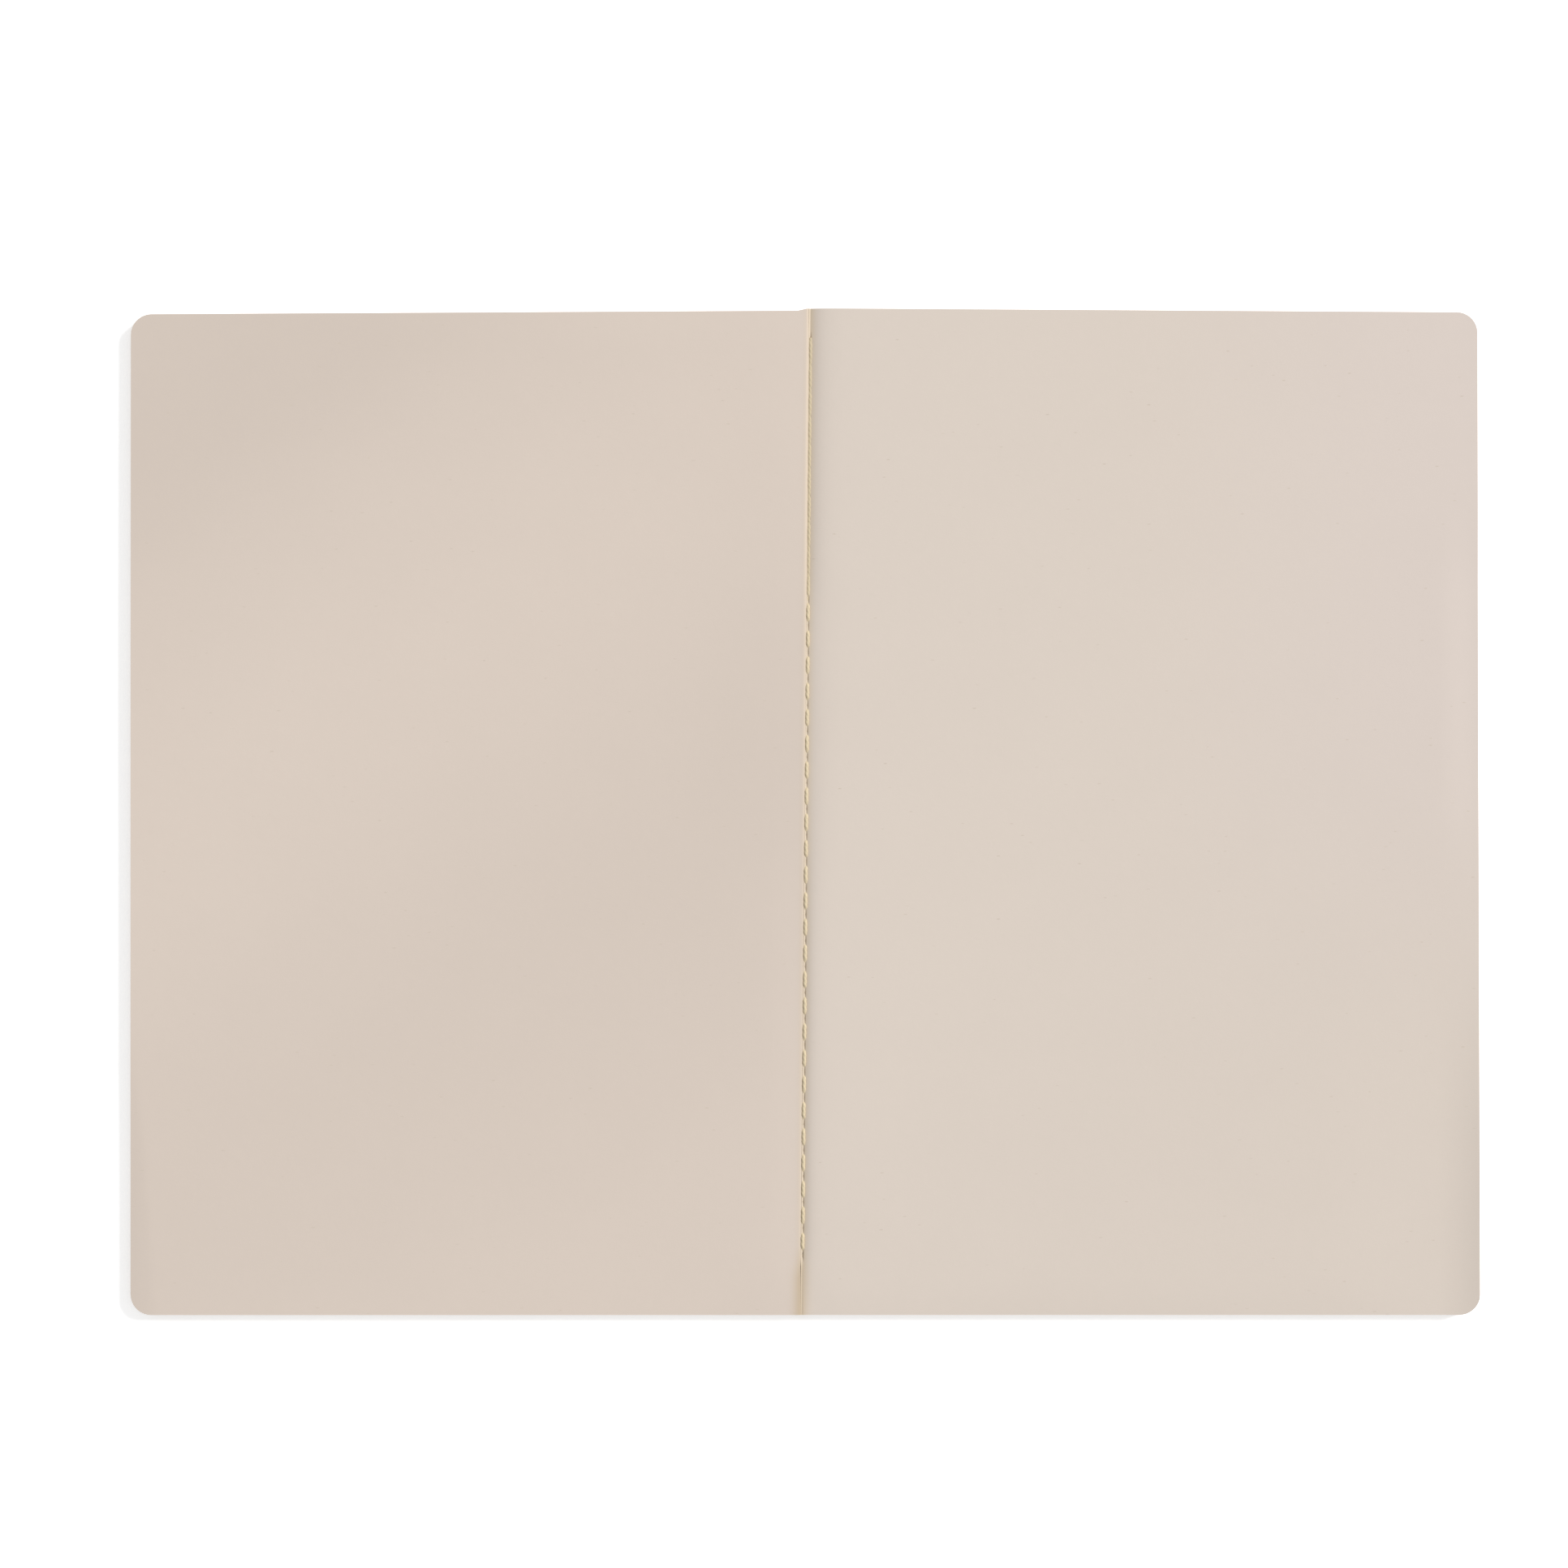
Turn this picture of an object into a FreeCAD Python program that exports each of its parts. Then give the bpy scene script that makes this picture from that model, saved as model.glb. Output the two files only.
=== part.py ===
import FreeCAD, Part
import math
import os

import Sketcher

# A soft-cover sketchbook: one section of folded drawing sheets, sewn through the fold to a card
# cover with two threads, and lying open and flat at its middle. Millimetres. +Z is up and +Y is
# towards the head of the pages. The seam runs along Y at X = 0, the left pages are at -X, and the
# origin is on the table under the middle of the open book.
#
# Every sheet is one folded piece of paper. It is divided at the fold into a left leaf, a right leaf
# and the narrow fold that the stitches hold, because the two leaves turn about the fold. The card
# cover is divided in the same way. Sheet 01 is the innermost one, whose leaves face the reader.

DIMENSIONS = (
    ("open_width", 283.2, "open cover, fore edge to fore edge"),
    ("fold_height", 211.2, "pages and cover, head to tail along the fold"),
    ("head_drop", 1.2, "how much shorter the fore edge is, because the head is trimmed out of square"),
    ("corner_radius", 4.3, "rounded outer corners of the pages and cover"),
    ("sheet_count", 12, "folded sheets in the section"),
    ("paper_thickness", 0.2, "one leaf of drawing paper"),
    ("air_gap", 0.03, "air between one leaf and the next"),
    ("creep_step", 0.03, "how much narrower each leaf is than the one under it"),
    ("cover_thickness", 0.4, "cover card where it lies flat"),
    ("spine_thickness", 0.36, "cover card where the stitches squeeze it"),
    ("fold_thickness", 0.15, "one sheet where the stitches squeeze it"),
    ("fold_half_width", 0.75, "half the width of the strip that the stitches hold"),
    ("fold_clearance", 0.05, "between that strip and the leaves beside it"),
    ("stitch_pitch", 5.5, "length of one stitch"),
    ("stitch_count", 35, "stitches in the seam"),
    ("seam_tail_margin", 12.6, "unsewn fold below the first needle hole"),
    ("needle_hole_radius", 0.34, "needle holes through the fold"),
    ("thread_radius", 0.3, "sewing thread"),
    ("table_gap", 0.02, "between the outer thread and the table"),
    ("thread_gap", 0.1, "between the two threads, where they meet inside a hole"),
)
ALLOWED_VOLUME_ERROR = 0.005

LEAF_START = "Sizes.fold_half_width + Sizes.fold_clearance"
LEAF_PITCH = "(Sizes.paper_thickness + Sizes.air_gap)"
COVER_REACH = "Sizes.open_width / 2"
SEAM_LENGTH = "Sizes.stitch_pitch * Sizes.stitch_count"
FIRST_HOLE_TO_MIDDLE = "Sizes.fold_height / 2 - Sizes.seam_tail_margin"
SPINE_LEVEL = "(Sizes.table_gap + 2 * Sizes.thread_radius)"
FOLDS_BOTTOM = f"({SPINE_LEVEL} + Sizes.spine_thickness)"
FOLDS_TOP = f"({FOLDS_BOTTOM} + Sizes.sheet_count * Sizes.fold_thickness)"
OUTER_THREAD_LEVEL = "(Sizes.table_gap + Sizes.thread_radius)"
INNER_THREAD_LEVEL = f"({FOLDS_TOP} + Sizes.thread_radius)"
THREAD_LEG = f"({INNER_THREAD_LEVEL} - {OUTER_THREAD_LEVEL} - Sizes.thread_gap) / 2"

ORIGIN_POINT = (-1, 1)
VERTICAL_AXIS = -2
LINE_START = 1
LINE_END = 2
CIRCLE_CENTRE = 3


def leaf_reach(number):
    """Distance from the seam to the fore edge of a leaf of sheet `number`."""
    return f"{COVER_REACH} - Sizes.creep_step * (Sizes.sheet_count + 1 - {number})"


def leaf_level(number):
    """Height of the underside of a leaf of sheet `number`."""
    sheets_below = f"(Sizes.sheet_count - {number})"
    return f"Sizes.cover_thickness + Sizes.air_gap + {sheets_below} * {LEAF_PITCH}"


def fold_level(number):
    """Height of the underside of the fold of sheet `number`."""
    return f"{FOLDS_BOTTOM} + (Sizes.sheet_count - {number}) * Sizes.fold_thickness"


def add_size_table(doc):
    """Spreadsheet with one named cell for each driving dimension."""
    table = doc.addObject("Spreadsheet::Sheet", "Sizes")
    for row, (alias, value, meaning) in enumerate(DIMENSIONS, start=1):
        table.set(f"A{row}", meaning)
        table.set(f"B{row}", str(value))
        table.setAlias(f"B{row}", alias)
    doc.recompute()
    return table


def add_body(doc, name, level=None):
    """Empty body, labelled as its part, at the height that the expression `level` gives."""
    body = doc.addObject("PartDesign::Body", name)
    body.Label = name
    if level is not None:
        body.setExpression("Placement.Base.z", level)
    return body


def add_sketch(body, name, plane_role="XY_Plane"):
    """Empty sketch on one of the body's own origin planes."""
    plane = next(f for f in body.Origin.OriginFeatures if f.Role == plane_role)
    sketch = body.newObject("Sketcher::SketchObject", f"{body.Name}_{name}")
    sketch.AttachmentSupport = [(plane, "")]
    sketch.MapMode = "FlatFace"
    return sketch


def bind(sketch, kind, places, expression):
    """Adds a dimension to a sketch and ties it to the size table."""
    table = sketch.Document.Sizes
    value = float(table.evalExpression(expression.replace("Sizes.", "")))
    index = sketch.addConstraint(Sketcher.Constraint(kind, *places, value))
    sketch.setExpression(f"Constraints[{index}]", expression)


def add_closed_lines(sketch, corners):
    """Closed polygon through the corners, in order; line number i starts at corner i."""
    ends = corners[1:] + corners[:1]
    for start, end in zip(corners, ends):
        line = Part.LineSegment(FreeCAD.Vector(*start, 0), FreeCAD.Vector(*end, 0))
        sketch.addGeometry(line, False)
    count = len(corners)
    for i in range(count):
        joined = (i, LINE_END, (i + 1) % count, LINE_START)
        sketch.addConstraint(Sketcher.Constraint("Coincident", *joined))


def draw_panel(sketch, side, reach, table):
    """Outline of a leaf or cover panel on one side of the seam: side is +1 right or -1 left.
    The tail and the two long edges are square, and the head falls towards the fore edge."""
    inner = side * (table.fold_half_width + table.fold_clearance)
    outer = side * table.open_width / 2
    tail = -table.fold_height / 2
    head = table.fold_height / 2
    add_closed_lines(
        sketch,
        [(inner, tail), (outer, tail), (outer, head - table.head_drop), (inner, head)],
    )
    tail_line, fore_line, inner_line = 0, 1, 3
    sketch.addConstraint(Sketcher.Constraint("Horizontal", tail_line))
    sketch.addConstraint(Sketcher.Constraint("Vertical", fore_line))
    sketch.addConstraint(Sketcher.Constraint("Vertical", inner_line))
    for corner, distance in ((LINE_START, LEAF_START), (LINE_END, reach)):
        span = (*ORIGIN_POINT, tail_line, corner)
        if side < 0:
            span = (tail_line, corner, *ORIGIN_POINT)
        bind(sketch, "DistanceX", span, distance)
    bind(sketch, "DistanceY", (tail_line, LINE_START, *ORIGIN_POINT), "Sizes.fold_height / 2")
    bind(sketch, "DistanceY", (inner_line, LINE_END, inner_line, LINE_START), "Sizes.fold_height")
    bind(
        sketch,
        "DistanceY",
        (fore_line, LINE_START, fore_line, LINE_END),
        "Sizes.fold_height - Sizes.head_drop",
    )


def add_panel(doc, name, side, reach, level, thickness):
    """Flat leaf or cover panel with its two outer corners rounded."""
    table = doc.Sizes
    body = add_body(doc, name, level)
    outline = add_sketch(body, "outline")
    draw_panel(outline, side, reach, table)
    pad = body.newObject("PartDesign::Pad", f"{name}_sheet")
    pad.Profile = outline
    pad.setExpression("Length", thickness)
    doc.recompute()
    fillet = body.newObject("PartDesign::Fillet", f"{name}_corners")
    fillet.Base = (pad, fore_corner_edges(pad.Shape, side))
    fillet.setExpression("Radius", "Sizes.corner_radius")
    body.Tip = fillet
    return body


def fore_corner_edges(shape, side):
    """Names of the two upright edges at the fore edge."""
    fore = max(side * vertex.X for vertex in shape.Vertexes)
    names = []
    for number, edge in enumerate(shape.Edges, start=1):
        upright = edge.BoundBox.ZLength > 0 and edge.BoundBox.XLength + edge.BoundBox.YLength < 1e-6
        if upright and abs(side * edge.BoundBox.Center.x - fore) < 1e-6:
            names.append(f"Edge{number}")
    return names


def draw_strip(sketch, table):
    """Rectangle along the seam, as long as the fold."""
    half = table.fold_half_width
    tail = -table.fold_height / 2
    add_closed_lines(sketch, [(-half, tail), (half, tail), (half, -tail), (-half, -tail)])
    tail_line, right_line, head_line, left_line = range(4)
    for line in (tail_line, head_line):
        sketch.addConstraint(Sketcher.Constraint("Horizontal", line))
    for line in (right_line, left_line):
        sketch.addConstraint(Sketcher.Constraint("Vertical", line))
    bind(sketch, "DistanceX", (tail_line, LINE_START, *ORIGIN_POINT), "Sizes.fold_half_width")
    bind(sketch, "DistanceX", (*ORIGIN_POINT, tail_line, LINE_END), "Sizes.fold_half_width")
    bind(sketch, "DistanceY", (tail_line, LINE_START, *ORIGIN_POINT), "Sizes.fold_height / 2")
    bind(sketch, "DistanceY", (*ORIGIN_POINT, right_line, LINE_END), "Sizes.fold_height / 2")


def draw_circle(sketch, below_origin, radius):
    """Circle on the sketch's upright axis, at a distance below the origin."""
    table = sketch.Document.Sizes
    offset = float(table.evalExpression(below_origin.replace("Sizes.", "")))
    circle = Part.Circle(FreeCAD.Vector(0, -offset, 0), FreeCAD.Vector(0, 0, 1), table.thread_radius)
    index = sketch.addGeometry(circle, False)
    on_axis = (index, CIRCLE_CENTRE, VERTICAL_AXIS)
    sketch.addConstraint(Sketcher.Constraint("PointOnObject", *on_axis))
    bind(sketch, "DistanceY", (index, CIRCLE_CENTRE, *ORIGIN_POINT), below_origin)
    bind(sketch, "Radius", (index,), radius)


def repeat_along_seam(body, feature, sketch, name):
    """Repeats a feature at every needle hole."""
    pattern = body.newObject("PartDesign::LinearPattern", f"{body.Name}_{name}")
    pattern.Originals = [feature]
    pattern.Direction = (sketch, ["V_Axis"])
    pattern.Mode = "Extent"
    pattern.setExpression("Length", SEAM_LENGTH)
    pattern.setExpression("Occurrences", "Sizes.stitch_count + 1")
    body.Tip = pattern
    return pattern


def add_sewn_strip(doc, name, level, thickness):
    """The strip of a sheet or of the cover that the stitches hold, with its row of needle holes."""
    body = add_body(doc, name, level)
    outline = add_sketch(body, "outline")
    draw_strip(outline, doc.Sizes)
    pad = body.newObject("PartDesign::Pad", f"{name}_strip")
    pad.Profile = outline
    pad.setExpression("Length", thickness)
    hole = add_sketch(body, "hole")
    draw_circle(hole, FIRST_HOLE_TO_MIDDLE, "Sizes.needle_hole_radius")
    pocket = body.newObject("PartDesign::Pocket", f"{name}_needle_hole")
    pocket.Profile = hole
    pocket.Type = "ThroughAll"
    pocket.Reversed = True
    repeat_along_seam(body, pocket, hole, "needle_holes")
    return body


def add_thread(doc, name, level, legs_go_up):
    """One sewing thread: a run along the fold, with a leg halfway into every needle hole."""
    body = add_body(doc, name, level)
    body.setExpression("Placement.Base.y", f"{SEAM_LENGTH} / 2 - ({FIRST_HOLE_TO_MIDDLE})")
    section = add_sketch(body, "section", "XZ_Plane")
    draw_circle(section, "0", "Sizes.thread_radius")
    run = body.newObject("PartDesign::Pad", f"{name}_run")
    run.Profile = section
    run.SideType = "Symmetric"
    run.setExpression("Length", f"{SEAM_LENGTH} + 2 * Sizes.thread_radius")
    leg_section = add_sketch(body, "leg_section")
    draw_circle(leg_section, f"{SEAM_LENGTH} / 2", "Sizes.thread_radius")
    leg = body.newObject("PartDesign::Pad", f"{name}_leg")
    leg.Profile = leg_section
    leg.Reversed = not legs_go_up
    leg.setExpression("Length", THREAD_LEG)
    repeat_along_seam(body, leg, leg_section, "legs")
    return body


def add_sheet(doc, number):
    """The three parts of folded sheet `number`."""
    name = f"sheet_{number:02d}"
    reach = leaf_reach(number)
    level = leaf_level(number)
    return [
        add_panel(doc, f"{name}_left_leaf", -1, reach, level, "Sizes.paper_thickness"),
        add_panel(doc, f"{name}_right_leaf", 1, reach, level, "Sizes.paper_thickness"),
        add_sewn_strip(doc, f"{name}_fold", fold_level(number), "Sizes.fold_thickness"),
    ]


def add_cover(doc):
    """The card cover: front panel at the left, back panel at the right, and the sewn spine."""
    return [
        add_panel(doc, "front_cover", -1, COVER_REACH, "0", "Sizes.cover_thickness"),
        add_panel(doc, "back_cover", 1, COVER_REACH, "0", "Sizes.cover_thickness"),
        add_sewn_strip(doc, "cover_spine", SPINE_LEVEL, "Sizes.spine_thickness"),
    ]


def check(doc, bodies):
    """Stops the build if a feature failed, a shape is bad or the needle holes weren't cut."""
    for item in doc.Objects:
        if "Invalid" in item.State or "Error" in item.State:
            raise RuntimeError(f"{item.Label} failed: {item.State}")
    table = doc.Sizes
    hole_area = math.pi * table.needle_hole_radius**2
    strip_area = 2 * table.fold_half_width * table.fold_height
    sewn_area = strip_area - (table.stitch_count + 1) * hole_area
    for body in bodies:
        shape = body.Shape
        if shape.isNull() or not shape.isValid() or len(shape.Solids) != 1:
            raise RuntimeError(f"{body.Label} is not one valid solid")
        if body.Label.endswith(("_fold", "_spine")):
            expected = sewn_area * shape.BoundBox.ZLength
            if abs(shape.Volume - expected) > ALLOWED_VOLUME_ERROR * expected:
                raise RuntimeError(f"{body.Label} doesn't have its needle holes")


def main():
    doc = FreeCAD.newDocument("sketchbook")
    table = add_size_table(doc)
    bodies = add_cover(doc)
    for number in range(1, int(table.sheet_count) + 1):
        bodies += add_sheet(doc, number)
    bodies.append(add_thread(doc, "inner_thread", INNER_THREAD_LEVEL, legs_go_up=False))
    bodies.append(add_thread(doc, "outer_thread", OUTER_THREAD_LEVEL, legs_go_up=True))
    doc.recompute()
    check(doc, bodies)
    os.makedirs("parts", exist_ok=True)
    for body in bodies:
        body.Shape.exportStep(os.path.join("parts", f"{body.Label}.step"))
        box = body.Shape.BoundBox
        print(
            f"{body.Label}: x {box.XMin:.2f} to {box.XMax:.2f}, y {box.YMin:.2f} to {box.YMax:.2f},"
            f" z {box.ZMin:.2f} to {box.ZMax:.2f}"
        )


main()
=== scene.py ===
import math

import bpy
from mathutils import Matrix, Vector, noise


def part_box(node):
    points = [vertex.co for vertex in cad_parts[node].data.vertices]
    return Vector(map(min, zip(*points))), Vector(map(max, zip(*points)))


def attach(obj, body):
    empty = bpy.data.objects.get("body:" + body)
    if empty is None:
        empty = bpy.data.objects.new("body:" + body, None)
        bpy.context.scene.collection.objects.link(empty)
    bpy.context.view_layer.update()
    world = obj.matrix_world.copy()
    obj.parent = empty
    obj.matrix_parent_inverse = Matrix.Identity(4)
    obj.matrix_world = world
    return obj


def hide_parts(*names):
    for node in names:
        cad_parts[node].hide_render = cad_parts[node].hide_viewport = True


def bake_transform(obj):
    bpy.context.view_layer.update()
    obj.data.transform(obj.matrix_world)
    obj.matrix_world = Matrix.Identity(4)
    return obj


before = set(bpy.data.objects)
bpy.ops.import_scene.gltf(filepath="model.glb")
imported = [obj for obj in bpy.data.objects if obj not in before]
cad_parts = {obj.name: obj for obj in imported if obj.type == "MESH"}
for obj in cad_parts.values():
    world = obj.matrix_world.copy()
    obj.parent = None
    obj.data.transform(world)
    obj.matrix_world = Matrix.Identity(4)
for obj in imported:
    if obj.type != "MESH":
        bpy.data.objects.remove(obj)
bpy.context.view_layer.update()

# Lengths are in millimetres until a mesh is made; the scene is in metres.
MM = 0.001
SHEETS = sum(1 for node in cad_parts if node.endswith("_left_leaf"))
SIDES = {"left": -1, "right": 1}


def box_mm(node):
    low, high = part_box(node)
    return low / MM, high / MM


COVER_OF = {"left": "front_cover", "right": "back_cover"}
COVER_LOW, COVER_HIGH = box_mm("front_cover")
SPINE_LOW, SPINE_HIGH = box_mm("cover_spine")
TOP_LOW, TOP_HIGH = box_mm("sheet_01_left_leaf")
INNER_THREAD_LOW, INNER_THREAD_HIGH = box_mm("inner_thread")
OUTER_THREAD_LOW, _ = box_mm("outer_thread")
LEAF_BOX = {n: box_mm(f"sheet_{n:02d}_left_leaf") for n in range(1, SHEETS + 1)}

# Outline of a page: how far its head lies below the fold's head, beside the fold and at the fore
# edge, and how far it spreads at the tail.
HALF_LENGTH = COVER_HIGH.y
HEAD_STEP = {"left": 0.45, "right": 0.0}
HEAD_STEP_WIDTH = 3.0
HEAD_DROP = {"left": 0.8, "right": 0.85}
TAIL_FLARE = {"left": 0.1, "right": 0.5}
TAIL_FLARE_POWER = 4
CORNER_RADIUS = 4.3

PAPER = TOP_HIGH.z - TOP_LOW.z
CARD = COVER_HIGH.z - COVER_LOW.z
SPINE_CARD = SPINE_HIGH.z - SPINE_LOW.z

# The folds in the gutter: half their width, and the pitch at which they lie on each other.
FOLD_EDGE = 0.3
FOLD_PITCH = 0.13
TIGHT_FOLD_PITCH = 0.11
BARE_FOLD_PITCH = 0.16
GUTTER_WIDTH = {"left": 0.42, "right": 1.3}
GUTTER_POWER = {"left": 2.0, "right": 1.25}
UPPER_GUTTER_SPREAD = {"left": 1.0, "right": 1.3}
UPPER_GUTTER = (-30, 0)

# The lean of the fold, and how far from it the pages follow.
LEAN = 0.90
SEAM_OFFSET = 0.45
LEAN_REACH = 125.0

# The seam, which runs along y.
STITCHES = 35
SEAM_START = INNER_THREAD_LOW.y + INNER_THREAD_HIGH.x
SEAM_END = INNER_THREAD_HIGH.y - INNER_THREAD_HIGH.x
STITCH_PITCH = (SEAM_END - SEAM_START) / STITCHES
BARE_FADE = 3
SLACK_SEAM_END = 45.0
SLACK_SEAM_FADE = 5
HOLE_WIDTH = 0.5
TOP_PIT_DEPTH = 0.22
PIT_DEPTH = 0.10


def smooth(edge_0, edge_1, value):
    t = min(1.0, max(0.0, (value - edge_0) / (edge_1 - edge_0)))
    return t * t * (3 - 2 * t)


def lean(y):
    """x of the fold, which leans a little across the book from the tail to the head."""
    return SEAM_OFFSET + LEAN * y / HALF_LENGTH


# ---------------------------------------------------------------- the shape of the pages


# Slanting swells of the left page: their slant and length, and where one of them is highest.
BAND_SLANT = math.radians(34)
BAND_LENGTH = 134
LEFT_CREST = 106
# Swells of the right page: their length, how much they slant, and their place.
RIGHT_SWELL_LENGTH = 190
RIGHT_SWELL_SLANT = 0.5
RIGHT_SWELL_SHIFT = 40
# A page swells only away from the fold. Its relief beside the fold differs in the lower half.
SWELL_FADE = (3.0, 26.0)
FOLD_RELIEF_REACH = 5.0
LOWER_HALF = (10, -20)
LOWER_HALF_ABOVE_TAIL = (2, 12)
# Depths of the relief.
MOST_RELIEF = 0.34
LEAST_DEPTH = 0.01
LEVEL_DEPTH = {"left": 0.03, "right": 0.02}
SWELL_DEPTH = {"left": 0.12, "right": 0.06}
FOLD_DEPTH = {"left": 0.05, "right": 0.14}
LOWER_FOLD_DEPTH = {"left": 0.14, "right": -0.10}
# The left page sinks at its head, except towards the fore edge.
HEAD_DEPTH = 0.19
HEAD_DIP_WIDTH = 6
HEAD_DIP_FADE = (75, 110)
# The right page sinks before its lower corner, along its upper fore edge and at its tail.
OUTER_SHARE = 0.8
OUTER_WIDTH = 32
OUTER_FADE = (-15, -70)
EDGE_DEPTH = 0.27
EDGE_DIP_WIDTH = 8
EDGE_DIP_BELOW = (-18, 12)
EDGE_DIP_ABOVE = (66, 46)
TAIL_DEPTH = 0.2
TAIL_DIP_WIDTH = 4
# The lower outer corners: on the right page the corner stands up.
CURL_WIDTH = 8.0
CURL_FADE = (-22, -85)
CURL_RISE = 0.62


def across_bands(x, y):
    """Distance measured across the slanting swells of the left page."""
    return y * math.cos(BAND_SLANT) - x * math.sin(BAND_SLANT)


def gutter(side, reach, y):
    """1 in the fold, falling to 0 on the page beside it."""
    spread = 1 + (UPPER_GUTTER_SPREAD[side] - 1) * smooth(*UPPER_GUTTER, y)
    return math.exp(-((reach / (GUTTER_WIDTH[side] * spread)) ** GUTTER_POWER[side]))


def corner_curl(reach, y, edge):
    """1 at the lower outer corner of a page, falling to 0 away from it."""
    share = max(0.0, (reach - edge + CURL_WIDTH) / CURL_WIDTH)
    return share * share * smooth(*CURL_FADE, y)


def swell(side, reach, y):
    """The long, low swells of a page, from 0 to 1."""
    if side == "left":
        turns = (across_bands(-reach, y) - LEFT_CREST) / BAND_LENGTH
        return 0.5 - 0.5 * math.cos(2 * math.pi * turns)
    turns = (reach + RIGHT_SWELL_SLANT * y + RIGHT_SWELL_SHIFT) / RIGHT_SWELL_LENGTH
    return 0.5 + 0.5 * math.sin(2 * math.pi * turns)


def relief(side, reach, y, edge):
    """How far the top page of a side lies below its highest level, in millimetres."""
    near_fold = math.exp(-((reach / FOLD_RELIEF_REACH) ** 2))
    near_tail, off_tail = LOWER_HALF_ABOVE_TAIL
    lower_half = smooth(*LOWER_HALF, y)
    lower_half *= smooth(-HALF_LENGTH + near_tail, -HALF_LENGTH + off_tail, y)
    curl = corner_curl(reach, y, edge)
    away = smooth(*SWELL_FADE, reach)
    shape = LEVEL_DEPTH[side] + SWELL_DEPTH[side] * swell(side, reach, y) * away
    if side == "left":
        head = smooth(HALF_LENGTH - HEAD_DIP_WIDTH, HALF_LENGTH, y)
        shape += HEAD_DEPTH * (head * (1 - smooth(*HEAD_DIP_FADE, reach)))
    shape += (FOLD_DEPTH[side] + LOWER_FOLD_DEPTH[side] * lower_half) * near_fold
    if side == "left":
        shape = max(shape, MOST_RELIEF * curl)
    else:
        outer = smooth(edge - OUTER_WIDTH, edge - CURL_WIDTH, reach) * smooth(*OUTER_FADE, y)
        fore_edge = smooth(edge - EDGE_DIP_WIDTH, edge, reach)
        tail = smooth(-HALF_LENGTH + TAIL_DIP_WIDTH, -HALF_LENGTH, y)
        shape += (MOST_RELIEF - shape) * OUTER_SHARE * outer
        shape += fore_edge * EDGE_DEPTH * smooth(*EDGE_DIP_BELOW, y) * smooth(*EDGE_DIP_ABOVE, y)
        shape += TAIL_DEPTH * tail * (1 - outer) - CURL_RISE * curl
    return min(MOST_RELIEF, max(LEAST_DEPTH - MOST_RELIEF, shape))


def share_of_relief(number):
    """The relief fades out from the top sheet to the bottom one."""
    return (SHEETS + 1 - number) / SHEETS


def bare(y):
    """1 on the stretch of fold at the tail that has no stitches, 0 elsewhere."""
    return smooth(SEAM_START, SEAM_START - BARE_FADE, y)


def tight(y):
    """1 where the seam is pulled tight, from a little past the middle to the head, 0 elsewhere."""
    return smooth(SLACK_SEAM_END - SLACK_SEAM_FADE, SLACK_SEAM_END + SLACK_SEAM_FADE, y)


def fold_pitch(y):
    """The folds are pressed tighter together where the seam is tight, and spread a little where no
    thread holds them."""
    pitch = FOLD_PITCH + (TIGHT_FOLD_PITCH - FOLD_PITCH) * tight(y)
    return pitch + (BARE_FOLD_PITCH - FOLD_PITCH) * bare(y)


def fold_top(number, y):
    """Height of the upper side of a sheet's fold."""
    return SPINE_HIGH.z + (SHEETS + 1 - number) * fold_pitch(y)


def leaf_top(number, side, reach, y, edge):
    """Height of a leaf's upper face."""
    _, high = LEAF_BOX[number]
    flat = high.z - share_of_relief(number) * relief(side, reach, y, edge)
    return flat + (fold_top(number, y) - flat) * gutter(side, reach, y)


def leaf_thickness(side, reach, y):
    return PAPER + (fold_pitch(y) - PAPER) * gutter(side, reach, y)


def cover_top(side, reach, y):
    return COVER_HIGH.z + (SPINE_HIGH.z - COVER_HIGH.z) * gutter(side, reach, y)


def cover_thickness(side, reach, y):
    return CARD + (SPINE_CARD - CARD) * gutter(side, reach, y)


# ---------------------------------------------------------------- meshes


# Columns of points across a leaf, in four stretches: beside the fold, the open page, before the
# corners and round them.
FOLD_COLUMNS = 30
FOLD_COLUMNS_END = 7.0
FOLD_COLUMNS_CROWDING = 1.6
OPEN_COLUMNS = 30
OPEN_COLUMNS_MARGIN = 13.0
EDGE_COLUMNS = 8
CORNER_COLUMNS = 9
# Rows of points along a leaf, and the share of their spacing that is even.
ROWS = 44
EVEN_SPACING = 0.45
CROWDED_SPACING = 0.55
# Columns across the strip in the fold, from its left edge to its right one, and its rows.
STRIP_COLUMNS = [-1.0, -0.66, -0.36, -0.14, 0.0, 0.14, 0.36, 0.66, 1.0]
STRIP_ROWS = 8 * (STITCHES + 4)
# Each piece shows another part of the paper's pattern.
PATTERN_SHIFT = (0.37, 0.21)
EDGE_TOP_SHADE = 0.88
EDGE_FOOT_SHADE = 0.50


def column_places(edge):
    """Distances from the fold at which a leaf has a column of points: close together beside the
    fold, at the fore edge and round the corners."""
    near_width = FOLD_COLUMNS_END - FOLD_EDGE
    places = [
        FOLD_EDGE + near_width * (i / FOLD_COLUMNS) ** FOLD_COLUMNS_CROWDING
        for i in range(FOLD_COLUMNS)
    ]
    open_end = edge - OPEN_COLUMNS_MARGIN
    open_width = open_end - FOLD_COLUMNS_END
    places += [FOLD_COLUMNS_END + open_width * i / OPEN_COLUMNS for i in range(OPEN_COLUMNS)]
    corner = edge - CORNER_RADIUS
    places += [open_end + (corner - open_end) * i / EDGE_COLUMNS for i in range(EDGE_COLUMNS)]
    quarter = math.pi / 2
    places += [
        corner + CORNER_RADIUS * math.sin(quarter * i / CORNER_COLUMNS)
        for i in range(CORNER_COLUMNS + 1)
    ]
    return places


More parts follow.
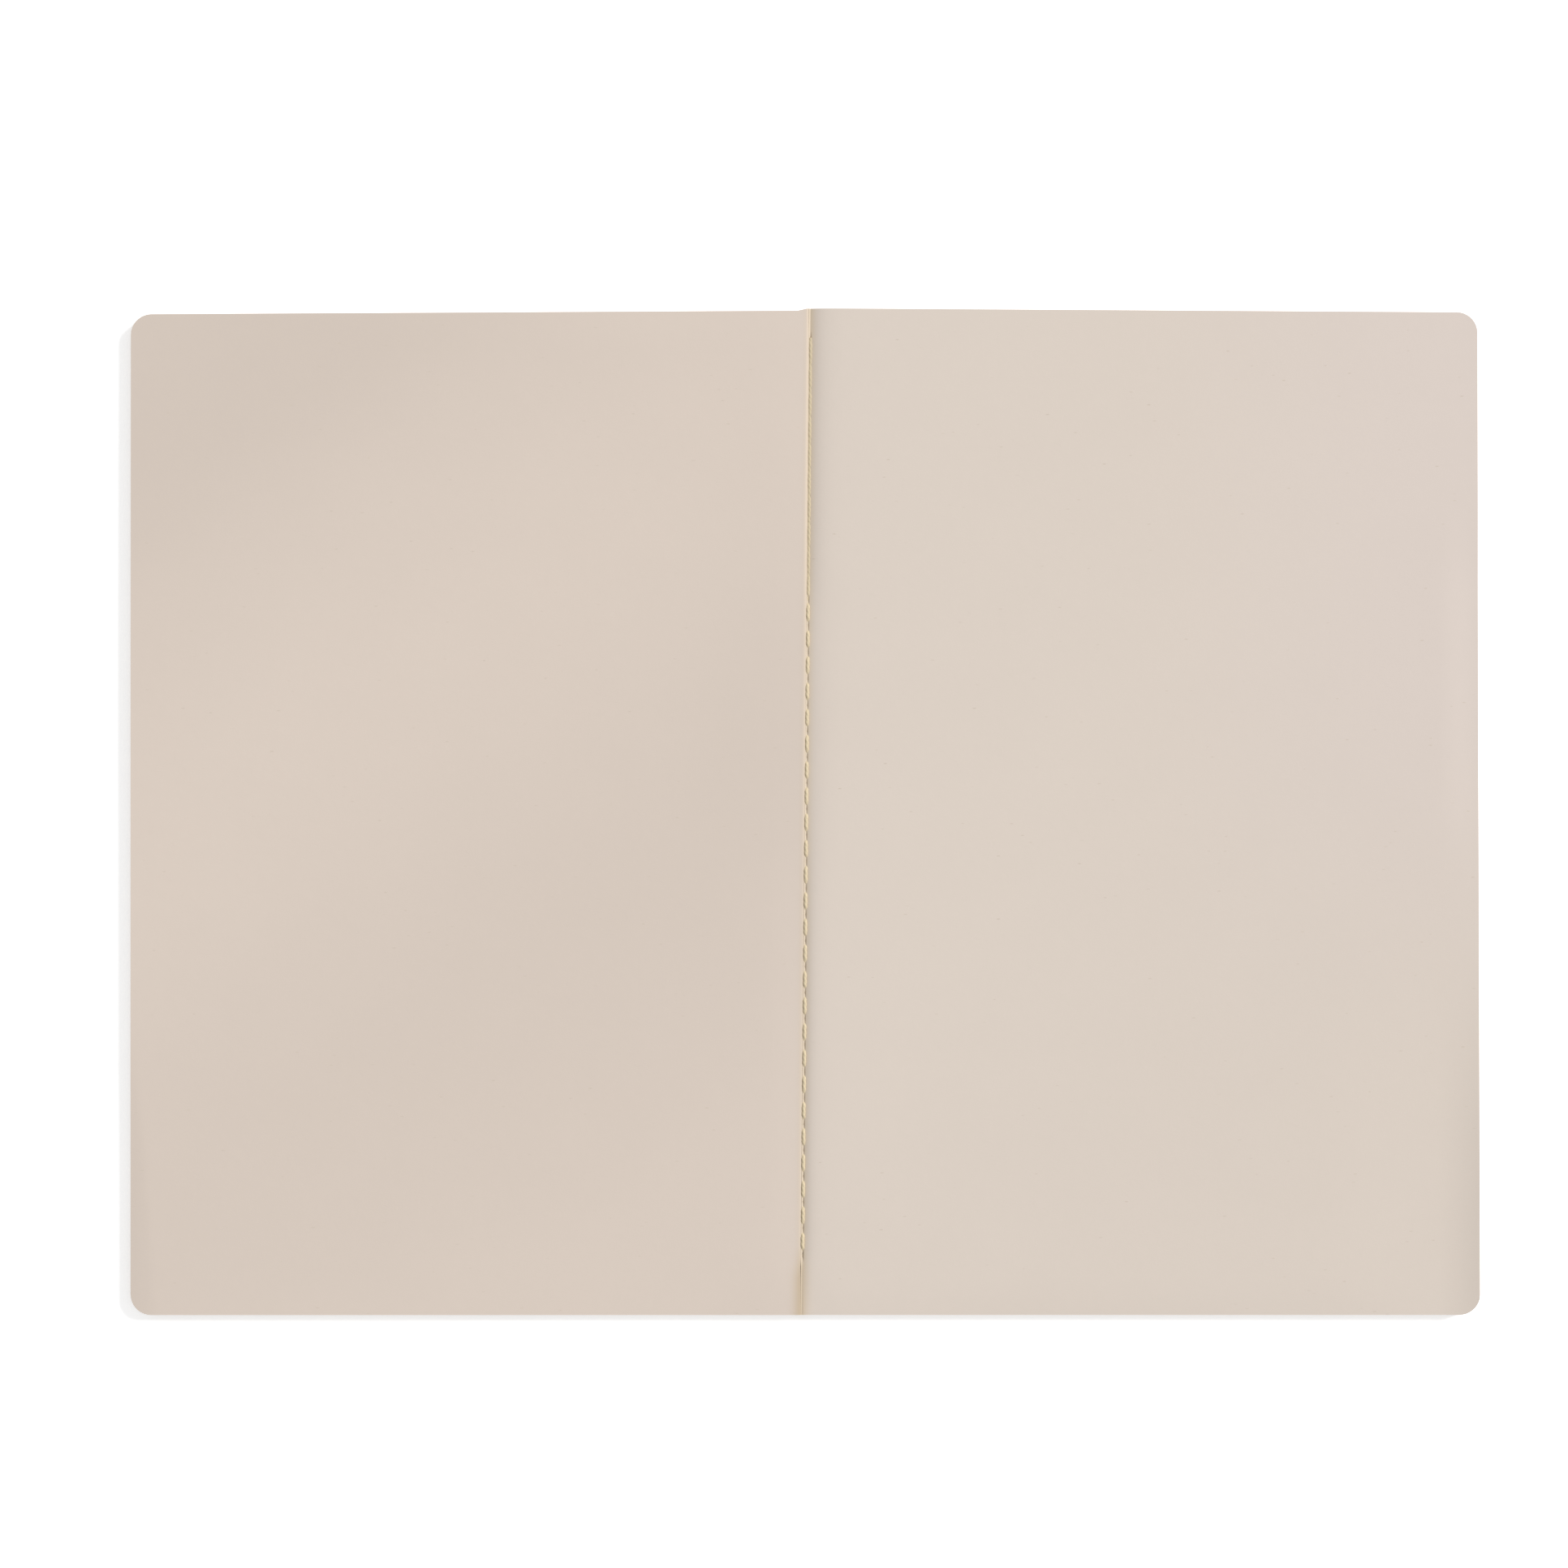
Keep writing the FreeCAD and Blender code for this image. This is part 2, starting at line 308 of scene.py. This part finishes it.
def row_shares():
    """Shares of the length for the rows of points, closer together at the head and tail."""
    shares = []
    for i in range(ROWS + 1):
        t = i / ROWS
        shares.append(EVEN_SPACING * t + CROWDED_SPACING * (0.5 - 0.5 * math.cos(math.pi * t)))
    return shares


def ends_at(side, reach, edge):
    """Lowest and highest y of a leaf at a distance from the fold."""
    over = max(0.0, reach - (edge - CORNER_RADIUS))
    cut = CORNER_RADIUS - math.sqrt(max(0.0, CORNER_RADIUS**2 - over**2))
    step = HEAD_STEP[side] * smooth(FOLD_EDGE, HEAD_STEP_WIDTH, reach)
    head = HALF_LENGTH - step - HEAD_DROP[side] * reach / edge
    return -HALF_LENGTH + cut, head - cut


def place(side, reach, y, edge):
    """x of a point on a page, with the lean of the fold fading out towards the fore edge."""
    towards_tail = 0.5 - 0.5 * y / HALF_LENGTH
    flare = TAIL_FLARE[side] * (reach / edge) ** TAIL_FLARE_POWER * towards_tail
    return SIDES[side] * (reach + flare) + lean(y) * (1 - smooth(0, LEAN_REACH, reach))


def new_piece(name, points, faces, coats, material, sharp):
    """Mesh object from points in millimetres. Each coat is the first face that it covers, and a uv
    and a tint for each point; a tint multiplies the material's colour. The edges between the
    points in each pair of `sharp` stay crisp."""
    mesh = bpy.data.meshes.new(name)
    mesh.from_pydata([(x * MM, y * MM, z * MM) for x, y, z in points], [], faces)
    uv_values, tint_values = [], []
    for number, face in enumerate(faces):
        _, uvs, tints = [coat for coat in coats if coat[0] <= number][-1]
        for point in face:
            uv_values.extend(uvs[point])
            tint_values.extend((*tints[point], 1.0))
    layer = mesh.uv_layers.new(name="page")
    layer.data.foreach_set("uv", uv_values)
    attribute = mesh.attributes.new("tint", "FLOAT_COLOR", "CORNER")
    attribute.data.foreach_set("color", tint_values)
    mesh.polygons.foreach_set("use_smooth", [True] * len(mesh.polygons))
    crisp = {frozenset(pair) for pair in sharp}
    if crisp:
        flags = [frozenset(edge.vertices) in crisp for edge in mesh.edges]
        attribute = mesh.attributes.new("sharp_edge", "BOOLEAN", "EDGE")
        attribute.data.foreach_set("value", flags)
    mesh.validate()
    mesh.materials.append(material)
    piece = bpy.data.objects.new(name, mesh)
    bpy.context.scene.collection.objects.link(piece)
    return piece


def slab(columns, rows, top_at, bottom_at, flip):
    """Closed thin slab on a grid: points, faces, the first face of its rim and the crisp edges
    round its two broad faces."""
    points = []
    for level in (top_at, bottom_at):
        for i in range(columns):
            for j in range(rows):
                points.append(level(i, j))
    under = columns * rows

    def at(i, j):
        return i * rows + j

    faces = []
    for i in range(columns - 1):
        for j in range(rows - 1):
            quad = (at(i, j), at(i + 1, j), at(i + 1, j + 1), at(i, j + 1))
            faces.append(quad)
            faces.append(tuple(under + p for p in reversed(quad)))
    first_rim_face = len(faces)
    rim = [at(i, 0) for i in range(columns)]
    rim += [at(columns - 1, j) for j in range(1, rows)]
    rim += [at(i, rows - 1) for i in range(columns - 2, -1, -1)]
    rim += [at(0, j) for j in range(rows - 2, 0, -1)]
    sharp = []
    for a, b in zip(rim, rim[1:] + rim[:1]):
        faces.append((b, a, under + a, under + b))
        sharp += [(a, b), (under + a, under + b)]
    if flip:
        faces = [tuple(reversed(face)) for face in faces]
    return points, faces, first_rim_face, sharp


def page_uvs(points, seed):
    shift_u, shift_v = (shift * seed for shift in PATTERN_SHIFT)
    return [(x * MM + shift_u, y * MM + shift_v) for x, y, _ in points]


def slab_coats(points, first_rim_face, seed, tint):
    """The look of a slab's broad faces, and of its cut edge, which is in shade towards the next
    sheet."""
    tints = [tint(x, y) for x, y, _ in points]
    rim_uvs = page_uvs([(abs(y) - abs(x), z, 0) for x, y, z in points], seed)
    half = len(points) // 2
    shades = [EDGE_TOP_SHADE] * half + [EDGE_FOOT_SHADE] * half
    rim_tints = [tuple(shade * c for c in colour) for shade, colour in zip(shades, tints)]
    return [(0, page_uvs(points, seed), tints), (first_rim_face, rim_uvs, rim_tints)]


def make_panel(name, side, edge, top, thickness, material, seed, tint):
    """A leaf or cover panel, from the fold to its fore edge."""
    places = column_places(edge)
    shares = row_shares()

    def upper(i, j):
        reach = places[i]
        tail, head = ends_at(side, reach, edge)
        y = tail + (head - tail) * shares[j]
        return place(side, reach, y, edge), y, top(reach, y)

    def lower(i, j):
        x, y, z = upper(i, j)
        return x, y, z - thickness(places[i], y)

    points, faces, first_rim_face, sharp = slab(
        len(places), len(shares), upper, lower, flip=side == "left"
    )
    coats = slab_coats(points, first_rim_face, seed, tint)
    return new_piece(name, points, faces, coats, material, sharp)


def near_hole(y):
    """1 at a needle hole, 0 away from the holes."""
    nearest = round((y - SEAM_START) / STITCH_PITCH)
    nearest = min(STITCHES, max(0, nearest))
    return math.exp(-(((y - SEAM_START - nearest * STITCH_PITCH) / HOLE_WIDTH) ** 2))


def make_strip(name, top, thickness, pit_depth, material, seed, tint):
    """The narrow strip in the fold that the stitches hold, dented at every needle hole."""

    def upper(i, j):
        y = -HALF_LENGTH + 2 * HALF_LENGTH * j / STRIP_ROWS
        across = STRIP_COLUMNS[i]
        reach = abs(across) * FOLD_EDGE
        side = "left" if across < 0 else "right"
        pit = pit_depth * near_hole(y) * math.sqrt(1 - abs(across))
        return across * FOLD_EDGE + lean(y), y, top(side, reach, y) - pit

    def lower(i, j):
        x, y, z = upper(i, j)
        return x, y, z - thickness(y)

    points, faces, first_rim_face, sharp = slab(
        len(STRIP_COLUMNS), STRIP_ROWS + 1, upper, lower, flip=False
    )
    coats = slab_coats(points, first_rim_face, seed, tint)
    return new_piece(name, points, faces, coats, material, sharp)


# The thread: its section, and how it runs.
THREAD_RADIUS = 0.40
THREAD_FLATNESS = 0.75
THREAD_SIDES = 16
TWISTS_PER_MM = 0.42
LOBE_CORE = 0.80
LOBE_RISE = 0.20
LOBE_POWER = 0.7
GROOVE_SHADE = 0.90
LOBE_LIGHT = 0.10
TIGHT_SHADE = 0.16
STITCH_STEPS = 26
STITCH_DIP = 0.75
STITCH_END = (0.02, 0.34)
TIGHT_DIP_LOSS = 0.8
WANDER = 0.04
WANDER_RATE = 0.35


def thread_path(level_at, towards_paper):
    """Centre line of a seam thread: each stitch arches over the paper and dives into a hole, and
    runs nearly straight where the seam is tight."""
    path = []
    for i in range(STITCHES * STITCH_STEPS + 1):
        y = SEAM_START + STITCH_PITCH * i / STITCH_STEPS
        phase = i % STITCH_STEPS / STITCH_STEPS
        from_hole = min(phase, 1 - phase)
        slack = 1 - TIGHT_DIP_LOSS * tight(y)
        dive = STITCH_DIP * (1 - smooth(*STITCH_END, from_hole)) * slack
        wander = WANDER * noise.noise(Vector((y * WANDER_RATE, level_at(y), 0)))
        path.append((lean(y) + wander, y, level_at(y) + towards_paper * dive))
    return path


def make_thread(name, path, material):
    """Two-ply twisted thread, pulled a little flat on the paper: a tube whose section has two
    lobes that turn along it."""
    points, tints = [], []
    for x, y, z in path:
        twist = 2 * math.pi * TWISTS_PER_MM * y
        for k in range(THREAD_SIDES):
            angle = 2 * math.pi * k / THREAD_SIDES
            lobe = abs(math.cos(angle - twist))
            r = THREAD_RADIUS * (LOBE_CORE + LOBE_RISE * lobe**LOBE_POWER)
            height = THREAD_FLATNESS * r * math.sin(angle)
            points.append((x + r * math.cos(angle), y, z + height))
            shade = (GROOVE_SHADE + LOBE_LIGHT * lobe) * (1 - TIGHT_SHADE * tight(y))
            tints.append((shade, shade, shade))
    faces = []
    for i in range(len(path) - 1):
        here, there = i * THREAD_SIDES, (i + 1) * THREAD_SIDES
        for k in range(THREAD_SIDES):
            n = (k + 1) % THREAD_SIDES
            faces.append((here + k, there + k, there + n, here + n))
    last = (len(path) - 1) * THREAD_SIDES
    faces.append(tuple(range(THREAD_SIDES)))
    faces.append(tuple(last + k for k in reversed(range(THREAD_SIDES))))
    return new_piece(name, points, faces, [(0, page_uvs(points, 0), tints)], material, [])


# ---------------------------------------------------------------- materials


class Material:
    """A node material under construction."""

    def __init__(self, name):
        self.material = bpy.data.materials.new(name)
        self.material.use_nodes = True
        self.nodes = self.material.node_tree.nodes
        self.links = self.material.node_tree.links
        self.shader = self.nodes["Principled BSDF"]

    def add(self, kind, **settings):
        node = self.nodes.new(kind)
        for key, value in settings.items():
            setattr(node, key, value)
        return node

    def feed(self, socket, value):
        """Links an output to a socket, or sets the socket to a plain number or colour."""
        if isinstance(value, bpy.types.NodeSocket):
            self.links.new(value, socket)
        else:
            socket.default_value = value

    def page_place(self):
        return self.add("ShaderNodeUVMap", uv_map="page").outputs["UV"]

    def tinted(self, colour):
        """The colour times the mesh's own tint."""
        node = self.add("ShaderNodeVectorMath", operation="MULTIPLY")
        tint = self.add("ShaderNodeAttribute", attribute_name="tint")
        self.feed(node.inputs[0], tint.outputs["Color"])
        self.feed(node.inputs[1], colour)
        return node.outputs["Vector"]

    def noise(self, where, scale, detail, roughness=0.55, distortion=0.0):
        node = self.add("ShaderNodeTexNoise")
        self.feed(node.inputs["Vector"], where)
        self.feed(node.inputs["Scale"], scale)
        self.feed(node.inputs["Detail"], detail)
        self.feed(node.inputs["Roughness"], roughness)
        self.feed(node.inputs["Distortion"], distortion)
        return node.outputs["Fac"]

    def math(self, operation, a, b):
        node = self.add("ShaderNodeMath", operation=operation)
        self.feed(node.inputs[0], a)
        self.feed(node.inputs[1], b)
        return node.outputs[0]

    def remap(self, value, low, high, to_low, to_high):
        node = self.add("ShaderNodeMapRange")
        self.feed(node.inputs["Value"], value)
        self.feed(node.inputs["From Min"], low)
        self.feed(node.inputs["From Max"], high)
        self.feed(node.inputs["To Min"], to_low)
        self.feed(node.inputs["To Max"], to_high)
        return node.outputs["Result"]

    def mix(self, factor, a, b):
        node = self.add("ShaderNodeMix", data_type="RGBA")
        self.feed(node.inputs["Factor"], factor)
        self.feed(node.inputs["A"], a)
        self.feed(node.inputs["B"], (*b, 1))
        return node.outputs["Result"]

    def brighten(self, colour, factor):
        node = self.add("ShaderNodeVectorMath", operation="SCALE")
        self.feed(node.inputs[0], colour)
        self.feed(node.inputs["Scale"], factor)
        return node.outputs["Vector"]

    def bump(self, height, strength, distance):
        node = self.add("ShaderNodeBump")
        self.feed(node.inputs["Strength"], strength)
        self.feed(node.inputs["Distance"], distance)
        self.feed(node.inputs["Height"], height)
        self.feed(self.shader.inputs["Normal"], node.outputs["Normal"])


# Sizes in the patterns are given as repeats to the metre; the bumps are in metres.
CLOUD_SCALE = 55
PULP_SCALE = 420
FIBRE_SCALE = 1500
FLECK_SCALE = 620
GRAIN_STRETCH = (1.0, 3.2, 1.0)
GRAIN_TURN = (0, 0, 0.35)
FLECK_SIZE = (0.16, 0.30)
PAPER_BUMP = 0.00006
PAPER_ROUGHNESS = (0.84, 0.95)
PAPER_SPECULAR = 0.25
YARN_SCALE = 5200
YARN_STREAKS = (0.90, 1.08)
YARN_ROUGHNESS = (0.7, 0.85)
YARN_SHEEN = 0.2
YARN_BUMP = 0.00003
YARN_BUMP_STRENGTH = 0.4


def sheet_material(name, colour, fleck, fleck_share, mottle, grain, felt):
    """Uncoated paper or card: clouded pulp, short fibres, a few flecks and a felt-like surface."""
    m = Material(name)
    where = m.page_place()
    cloud = m.noise(where, CLOUD_SCALE, 3)
    pulp = m.noise(where, PULP_SCALE, 4, 0.6)
    grained = m.add("ShaderNodeMapping")
    m.feed(grained.inputs["Vector"], where)
    m.feed(grained.inputs["Scale"], GRAIN_STRETCH)
    m.feed(grained.inputs["Rotation"], GRAIN_TURN)
    along_grain = grained.outputs["Vector"]
    fibre = m.noise(along_grain, FIBRE_SCALE, 4, 0.65, 1.2)

    brightness = m.remap(cloud, 0.3, 0.7, 1 - mottle, 1 + mottle)
    brightness = m.math("ADD", brightness, m.remap(pulp, 0.25, 0.75, -grain, grain))
    brightness = m.math("ADD", brightness, m.remap(fibre, 0.25, 0.75, -grain, grain))
    shade = m.brighten(m.tinted(colour), brightness)

    cells = m.add("ShaderNodeTexVoronoi")
    m.feed(cells.inputs["Vector"], along_grain)
    m.feed(cells.inputs["Scale"], FLECK_SCALE)
    lot = m.add("ShaderNodeSeparateColor")
    m.feed(lot.inputs["Color"], cells.outputs["Color"])
    rare = m.remap(lot.outputs["Red"], 1 - fleck_share, 1.0, 0.0, 1.0)
    close = m.remap(cells.outputs["Distance"], *FLECK_SIZE, 1.0, 0.0)
    m.feed(m.shader.inputs["Base Color"], m.mix(m.math("MULTIPLY", rare, close), shade, fleck))

    m.feed(m.shader.inputs["Roughness"], m.remap(pulp, 0.3, 0.7, *PAPER_ROUGHNESS))
    m.feed(m.shader.inputs["Specular IOR Level"], PAPER_SPECULAR)
    m.bump(m.math("ADD", pulp, fibre), felt, PAPER_BUMP)
    return m.material


def thread_material(name, colour):
    """Cotton thread: fine twisted fibres with a little fuzz."""
    m = Material(name)
    fibre = m.noise(m.page_place(), YARN_SCALE, 3, 0.6, 0.8)
    streak = m.remap(fibre, 0.3, 0.7, *YARN_STREAKS)
    m.feed(m.shader.inputs["Base Color"], m.brighten(m.tinted(colour), streak))
    m.feed(m.shader.inputs["Roughness"], m.remap(fibre, 0.3, 0.7, *YARN_ROUGHNESS))
    m.feed(m.shader.inputs["Sheen Weight"], YARN_SHEEN)
    m.bump(fibre, YARN_BUMP_STRENGTH, YARN_BUMP)
    return m.material


PAPER_COLOUR = (0.620, 0.546, 0.481)
PAPER_FLECK = (0.545, 0.470, 0.400)
CARD_COLOUR = (0.47, 0.375, 0.28)
CARD_FLECK = (0.20, 0.13, 0.08)
THREAD_COLOUR = (0.60, 0.50, 0.335)

paper = sheet_material(
    "drawing_paper", PAPER_COLOUR, PAPER_FLECK,
    fleck_share=0.02, mottle=0.005, grain=0.006, felt=0.2
)
card = sheet_material(
    "cover_card", CARD_COLOUR, CARD_FLECK,
    fleck_share=0.12, mottle=0.03, grain=0.03, felt=0.4
)
cotton = thread_material("sewing_thread", THREAD_COLOUR)


# ---------------------------------------------------------------- tints

# Painted warm cast that goes with the painted shade of the left page.
LEFT_SHADE_CAST = (1.012, 0.993, 0.985)
PLAIN_CAST = (1.0, 1.0, 1.0)
# Painted shade in the fold: darker and browner across it, most of all where it is bare at the
# tail, and on its steep left wall.
FOLD_SHADE_TINT = (0.97, 0.935, 0.83)
TAIL_FOLD_SHADE_TINT = (0.87, 0.81, 0.68)
FOLD_SHADE_WIDTH = 0.95
TAIL_FOLD_SHADE_WIDTH = 1.5
TAIL_FOLD_SHADE_SHIFT = 0.30
LEFT_WALL_SHADE = 0.08
LEFT_WALL_START = (-0.95, -0.55)
LEFT_WALL_END = (0.3, 0.0)

# Painted shade on the left page: its darker level, its slanting bands of painted light and shade,
# and its darker upper and lower parts.
LEFT_PAGE_SHADE = 0.950
BAND_LIGHT_AND_SHADE = 0.022
LIGHT_BAND = 73
UPPER_SHADE = 0.028
UPPER_SHADE_FADE = (108, 136)
LOWER_SHADE = 0.016
LOWER_SHADE_FADE = (0, -45)

# Painted shade on the right page, darker towards its lower corner; the page is also cooler at its
# upper fore edge.
CORNER_SHADE = 0.018
CORNER_SHADE_FADE = (40, 150)
CORNER_SHADE_SLANT = 0.9
COOL_RED = 0.004
COOL_BLUE = 0.030
COOL_ACROSS = (60, 140)
COOL_UPWARDS = (-60, 30)


def blend_tints(share, first, second):
    return tuple(a + (b - a) * share for a, b in zip(first, second))


def fold_shaded(tint, x, y):
    """Painted shade in the fold: it is darker and browner than the pages, most of all on its steep
    left side and where it is bare at the tail."""
    from_fold = x - lean(y)
    shade_tint = blend_tints(bare(y), FOLD_SHADE_TINT, TAIL_FOLD_SHADE_TINT)
    width = FOLD_SHADE_WIDTH + (TAIL_FOLD_SHADE_WIDTH - FOLD_SHADE_WIDTH) * bare(y)
    share = math.exp(-(((from_fold + TAIL_FOLD_SHADE_SHIFT * bare(y)) / width) ** 2))
    left_side = smooth(*LEFT_WALL_START, from_fold) * smooth(*LEFT_WALL_END, from_fold)
    darker = 1 - LEFT_WALL_SHADE * left_side
    return tuple(c * darker * (1 + (d - 1) * share) for c, d in zip(tint, shade_tint))


def left_page_tint(x, y):
    """Painted light and shade on the left page: darker and warmer overall, with soft slanting
    bands and darker upper and lower parts.
    """
    bands = across_bands(x, y)
    shading = LEFT_PAGE_SHADE + BAND_LIGHT_AND_SHADE * math.cos(2 * math.pi * (bands - LIGHT_BAND) / BAND_LENGTH)
    upper, lower = smooth(*UPPER_SHADE_FADE, bands), smooth(*LOWER_SHADE_FADE, bands)
    shading -= UPPER_SHADE * upper + LOWER_SHADE * lower
    return fold_shaded(tuple(shading * c for c in LEFT_SHADE_CAST), x, y)


def right_page_tint(x, y):
    """Painted shade: the right page darkens a little towards its lower corner. It is also cooler
    at its upper edge.
    """
    shading = 1.0 - CORNER_SHADE * smooth(*CORNER_SHADE_FADE, x - CORNER_SHADE_SLANT * y)
    cool = smooth(*COOL_ACROSS, x) * smooth(*COOL_UPWARDS, y)
    red, blue = shading * (1 + COOL_RED * cool), shading * (1 + COOL_BLUE * cool)
    return fold_shaded((red, shading, blue), x, y)


def plain_tint(x, y):
    return fold_shaded(PLAIN_CAST, x, y)


PAGE_TINTS = {"left": left_page_tint, "right": right_page_tint}


# ---------------------------------------------------------------- pieces

CARD_SEED = 30
INNER_THREAD_LIFT = 0.17
TIGHT_THREAD_SINK = 0.12


def bend(piece):
    """Bakes the piece's placing into its mesh."""

    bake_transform(piece)


def make_leaf(number, side):
    """A leaf, whose inner edge curves down into the fold."""
    node = f"sheet_{number:02d}_{side}_leaf"
    low, high = box_mm(node)
    edge = max(abs(low.x), abs(high.x))
    seed = number + (0.5 if side == "right" else 0.0)

    def top(reach, y):
        return leaf_top(number, side, reach, y, edge)

    def thickness(reach, y):
        return leaf_thickness(side, reach, y)

    tint = PAGE_TINTS[side] if number == 1 else plain_tint
    piece = make_panel(f"leaf_{number:02d}_{side}", side, edge, top, thickness, paper,
                       seed, tint)
    bend(piece)
    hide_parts(node)


def make_cover(side):
    node = COVER_OF[side]

    def top(reach, y):
        return cover_top(side, reach, y)

    def thickness(reach, y):
        return cover_thickness(side, reach, y)

    piece = make_panel(f"{node}_card", side, -COVER_LOW.x, top, thickness, card,
                       CARD_SEED + SIDES[side], plain_tint)
    bend(piece)
    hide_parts(node)


def make_fold(number):
    def top(side, reach, y):
        flat = LEAF_BOX[number][1].z
        return flat + (fold_top(number, y) - flat) * gutter(side, reach, y)

    pit = TOP_PIT_DEPTH if number == 1 else PIT_DEPTH
    piece = make_strip(f"fold_{number:02d}", top, fold_pitch, pit, paper,
                       number, plain_tint)
    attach(piece, "binding")
    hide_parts(f"sheet_{number:02d}_fold")


def make_spine():
    piece = make_strip("spine_card", cover_top, lambda y: SPINE_CARD, 0.0, card,
                       CARD_SEED, plain_tint)
    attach(piece, "binding")
    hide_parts("cover_spine")


def make_seam(name, node, level_at, towards_paper):
    path = thread_path(level_at, towards_paper)
    piece = make_thread(name, path, cotton)
    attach(piece, "binding")
    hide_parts(node)


def inner_level(y):
    """Height of the inner thread: bedded in deeper where the folds are pressed together."""
    return fold_top(1, y) + INNER_THREAD_LIFT - TIGHT_THREAD_SINK * tight(y)


def outer_level(y):
    """Height of the outer thread, the same all along."""
    return OUTER_THREAD_LOW.z + THREAD_RADIUS


for side_name in SIDES:
    make_cover(side_name)
    for sheet_number in range(1, SHEETS + 1):
        make_leaf(sheet_number, side_name)
make_spine()
for sheet_number in range(1, SHEETS + 1):
    make_fold(sheet_number)
make_seam("inner_stitches", "inner_thread", inner_level, -1)
make_seam("outer_stitches", "outer_thread", outer_level, 1)


# ---------------------------------------------------------------- floor, light and camera

FLOOR_HALF = 60.0
FLOOR_DEPTH = 0.00005
FLOOR_COLOUR = (0.93, 0.93, 0.93, 1)
FLOOR_ROUGHNESS = 0.9
FLOOR_SPECULAR = 0.1
FLOOR_GLOW = 0.42
WHITE = (1, 1, 1, 1)
SKY_STRENGTH = 0.55
SUN_STRENGTH = 3.29
SUN_WIDTH = math.radians(18)
SUN_ELEVATION = math.radians(35)
SUN_AZIMUTH = math.radians(28)
SENSOR_WIDTH = 36
NEAREST_SEEN = 0.01
CAMERA_HEIGHT = 0.85
VIEW_WIDTH = 0.3289
CAMERA_OFFSET = (-0.00422, 0.00580)


def make_floor():
    mesh = bpy.data.meshes.new("floor")
    corners = [(-1, -1), (1, -1), (1, 1), (-1, 1)]
    mesh.from_pydata([(x * FLOOR_HALF, y * FLOOR_HALF, 0) for x, y in corners], [], [(0, 1, 2, 3)])
    m = Material("pale_floor")
    m.feed(m.shader.inputs["Base Color"], FLOOR_COLOUR)
    m.feed(m.shader.inputs["Roughness"], FLOOR_ROUGHNESS)
    m.feed(m.shader.inputs["Specular IOR Level"], FLOOR_SPECULAR)
    m.feed(m.shader.inputs["Emission Color"], WHITE)
    m.feed(m.shader.inputs["Emission Strength"], FLOOR_GLOW)
    mesh.materials.append(m.material)
    floor = bpy.data.objects.new("floor", mesh)
    floor.location.z = -FLOOR_DEPTH
    bpy.context.scene.collection.objects.link(floor)


def make_sky():
    """Even light from all round, seen as plain white, so that no horizon shows past the floor."""
    world = bpy.data.worlds.new("studio")
    world.use_nodes = True
    nodes, links = world.node_tree.nodes, world.node_tree.links
    background = nodes["Background"]
    background.inputs["Color"].default_value = WHITE
    strength = nodes.new("ShaderNodeMapRange")
    strength.inputs["To Min"].default_value = SKY_STRENGTH
    links.new(nodes.new("ShaderNodeLightPath").outputs["Is Camera Ray"], strength.inputs["Value"])
    links.new(strength.outputs["Result"], background.inputs["Strength"])
    bpy.context.scene.world = world


def make_sun():
    """A wide, distant key light beyond the head and fore edge of the right page."""
    data = bpy.data.lights.new("key", "SUN")
    data.energy = SUN_STRENGTH
    data.angle = SUN_WIDTH
    light = bpy.data.objects.new("key", data)
    level = math.cos(SUN_ELEVATION)
    towards = Vector((
        level * math.cos(SUN_AZIMUTH),
        level * math.sin(SUN_AZIMUTH),
        math.sin(SUN_ELEVATION),
    ))
    light.location = towards
    light.rotation_mode = "QUATERNION"
    light.rotation_quaternion = towards.to_track_quat("Z", "Y")
    bpy.context.scene.collection.objects.link(light)


def make_camera():
    data = bpy.data.cameras.new("camera")
    data.sensor_width = SENSOR_WIDTH
    data.lens = data.sensor_width * CAMERA_HEIGHT / VIEW_WIDTH
    data.clip_start = NEAREST_SEEN
    camera = bpy.data.objects.new("camera", data)
    camera.location = (*CAMERA_OFFSET, CAMERA_HEIGHT + TOP_HIGH.z * MM)
    bpy.context.scene.collection.objects.link(camera)
    bpy.context.scene.camera = camera


make_floor()
make_sky()
make_sun()
make_camera()
bpy.context.scene.view_settings.view_transform = "Standard"
